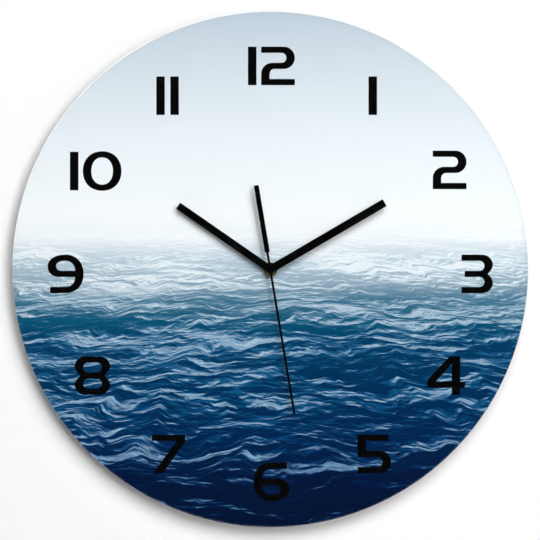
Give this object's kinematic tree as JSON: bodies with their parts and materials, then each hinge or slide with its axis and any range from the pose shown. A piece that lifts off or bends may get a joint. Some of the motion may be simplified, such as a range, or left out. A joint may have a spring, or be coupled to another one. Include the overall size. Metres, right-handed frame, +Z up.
{
  "type": "wall clock",
  "caption": "Round frameless glass wall clock with a printed sea picture, black hands and a battery quartz movement hung by a keyhole strip.",
  "frame": {"origin": "on the axis of the hands, in the plane of the wall, which is the outer face of the movement's back cover", "axes": "X to the right as seen from the front, Z up, the dial faces -Y, so +Y runs along the hands' axis into the wall"},
  "size_m": [0.4, 0.0316, 0.3999],
  "materials": {
    "clear_glass": "polished float glass with a ground edge",
    "sea_print": "printed film, sea and mist picture",
    "black_ink": "solid black printing ink",
    "hand_black": "thin sheet, satin black paint",
    "hub_black": "black moulded cap",
    "nut_brass": "turned brass",
    "washer_rubber": "black rubber sheet",
    "hanger_steel": "zinc plated strip",
    "case_plastic": "black moulding, fine spark texture",
    "knob_plastic": "black moulding",
    "wheel_plastic": "natural acetal moulding",
    "red_wheel_plastic": "red acetal moulding",
    "arbor_steel": "turned steel with a moulded pinion",
    "magnet_ferrite": "sintered magnet",
    "stator_iron": "soft iron sheet",
    "bobbin_plastic": "moulded bobbin",
    "winding_copper": "enamelled copper wire",
    "bridge_plastic": "moulded plate",
    "screw_steel": "plated steel",
    "board_laminate": "paper laminate circuit board",
    "chip_epoxy": "black epoxy",
    "crystal_metal": "drawn metal can",
    "contact_steel": "nickel plated spring steel",
    "battery_can": "nickel plated can",
    "battery_wrap": "plain shrink sleeve"
  },
  "bodies": {
    "clock": {"glass_disc": "clear_glass", "picture_print": "sea_print", "hour_numerals": "black_ink", "rubber_washer": "washer_rubber", "hanger_plate": "hanger_steel", "threaded_bush": "nut_brass", "nut_washer": "nut_brass", "fixing_nut": "nut_brass", "case_front": "case_plastic", "case_back": "case_plastic", "train_bridge": "bridge_plastic", "bridge_screws": "screw_steel", "stator_plate": "stator_iron", "coil_core": "stator_iron", "coil_bobbin": "bobbin_plastic", "coil_winding": "winding_copper", "stator_screws": "screw_steel", "circuit_board": "board_laminate", "chip_cover": "chip_epoxy", "quartz_crystal": "crystal_metal", "positive_contact": "contact_steel", "negative_contact": "contact_steel", "battery_spring": "contact_steel"},
    "hour": {"hour_wheel": "wheel_plastic", "hour_hand": "hand_black"},
    "minute": {"cannon_pinion": "wheel_plastic", "centre_wheel": "wheel_plastic", "minute_hand": "hand_black"},
    "second": {"second_wheel": "wheel_plastic", "second_arbor": "arbor_steel", "second_hand": "hand_black", "second_hand_hub": "hub_black"},
    "third": {"third_wheel": "wheel_plastic"},
    "intermediate": {"intermediate_wheel": "red_wheel_plastic"},
    "rotor": {"rotor_pinion": "wheel_plastic", "rotor_magnet": "magnet_ferrite"},
    "motion": {"minute_wheel": "red_wheel_plastic"},
    "setting": {"setting_knob": "knob_plastic"},
    "battery": {"battery_cell": "battery_can", "battery_sleeve": "battery_wrap"}
  },
  "joints": [
    {"name": "minute_turn", "type": "hinge", "parent": "clock", "child": "minute", "pos_m": [0, 0, 0], "axis": [0, 1, 0], "continuous": true},
    {"name": "hour_turn", "type": "hinge", "parent": "clock", "child": "hour", "pos_m": [0, 0, 0], "axis": [0, 1, 0], "continuous": true},
    {"name": "second_turn", "type": "hinge", "parent": "clock", "child": "second", "pos_m": [0, 0, 0], "axis": [0, 1, 0], "continuous": true},
    {"name": "third_turn", "type": "hinge", "parent": "clock", "child": "third", "pos_m": [-0.0045, 0, 0.00779], "axis": [0, 1, 0], "continuous": true},
    {"name": "intermediate_turn", "type": "hinge", "parent": "clock", "child": "intermediate", "pos_m": [0.00628, 0, 0.00628], "axis": [0, 1, 0], "continuous": true},
    {"name": "rotor_turn", "type": "hinge", "parent": "clock", "child": "rotor", "pos_m": [0.01305, 0, 0.00382], "axis": [0, 1, 0], "continuous": true},
    {"name": "motion_turn", "type": "hinge", "parent": "clock", "child": "motion", "pos_m": [-0.00624, 0, -0.0036], "axis": [0, 1, 0], "continuous": true},
    {"name": "setting_turn", "type": "hinge", "parent": "clock", "child": "setting", "pos_m": [-0.01344, 0, -0.0036], "axis": [0, 1, 0], "continuous": true},
    {"name": "battery_slide", "type": "slide", "parent": "clock", "child": "battery", "axis": [0, 1, 0], "range_m": [0, 0.025]}
  ],
  "couplings": [
    {"joint": "hour_turn", "follows": "minute_turn", "ratio": 0.083333},
    {"joint": "second_turn", "follows": "minute_turn", "ratio": 60},
    {"joint": "third_turn", "follows": "minute_turn", "ratio": -8},
    {"joint": "intermediate_turn", "follows": "minute_turn", "ratio": -360},
    {"joint": "rotor_turn", "follows": "minute_turn", "ratio": 1800},
    {"joint": "motion_turn", "follows": "minute_turn", "ratio": -0.33333},
    {"joint": "setting_turn", "follows": "minute_turn", "ratio": 1}
  ]
}
